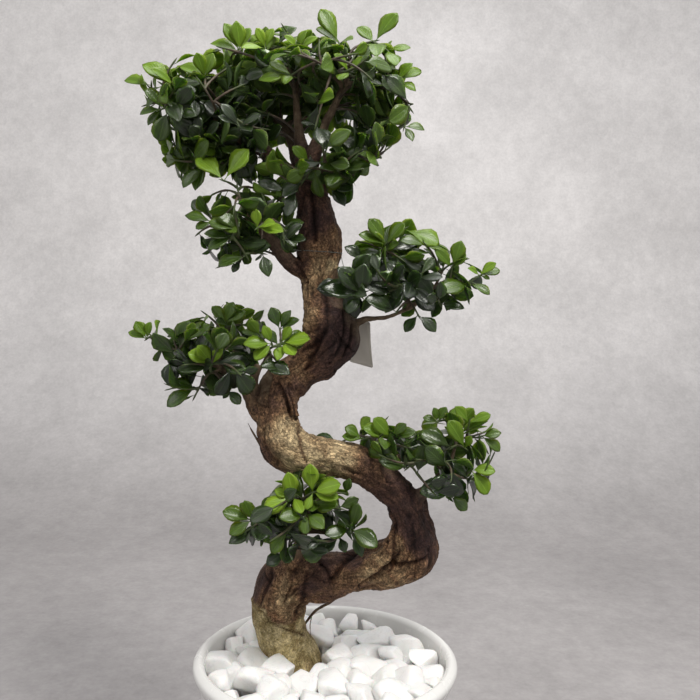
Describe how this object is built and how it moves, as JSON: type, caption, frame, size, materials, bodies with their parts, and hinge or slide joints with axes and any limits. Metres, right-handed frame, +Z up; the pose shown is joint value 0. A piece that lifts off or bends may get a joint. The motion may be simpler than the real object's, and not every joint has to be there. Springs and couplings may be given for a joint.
{
  "type": "potted ginseng ficus",
  "caption": "Ginseng ficus trained in an S, with pads of small glossy leaves, standing in a round white pot dressed with white pebbles",
  "frame": {"origin": "middle of the pot's flat underside, on the floor", "axes": "+Z up, along the tree; the front that the picture shows faces -Y; +X is the viewer's right"},
  "size_m": [0.4182, 0.3, 0.9971],
  "materials": {
    "bark": "matte",
    "leaf": "satin",
    "pot_white": "gloss",
    "soil": "matte",
    "marble": "satin",
    "label_plastic": "satin"
  },
  "bodies": {
    "root": {"trunk": "bark", "pot": "pot_white", "soil": "soil", "pebbles": "marble", "label": "label_plastic", "crown_spray_1": "leaf", "crown_spray_2": "leaf", "crown_spray_3": "leaf", "crown_spray_4": "leaf", "crown_spray_5": "leaf", "crown_spray_6": "leaf", "crown_spray_7": "leaf", "crown_spray_8": "leaf", "crown_spray_9": "leaf", "crown_spray_10": "leaf", "crown_spray_11": "leaf", "crown_spray_12": "leaf", "upper_left_spray_1": "leaf", "upper_left_spray_2": "leaf", "upper_left_spray_3": "leaf", "upper_left_spray_4": "leaf", "upper_right_spray_1": "leaf", "upper_right_spray_2": "leaf", "upper_right_spray_3": "leaf", "upper_right_spray_4": "leaf", "upper_right_spray_5": "leaf", "middle_left_spray_1": "leaf", "middle_left_spray_2": "leaf", "middle_left_spray_3": "leaf", "middle_left_spray_4": "leaf", "middle_left_spray_5": "leaf", "middle_right_spray_1": "leaf", "middle_right_spray_2": "leaf", "middle_right_spray_3": "leaf", "middle_right_spray_4": "leaf", "middle_right_spray_5": "leaf", "lower_left_spray_1": "leaf", "lower_left_spray_2": "leaf", "lower_left_spray_3": "leaf", "lower_left_spray_4": "leaf"}
  },
  "joints": []
}
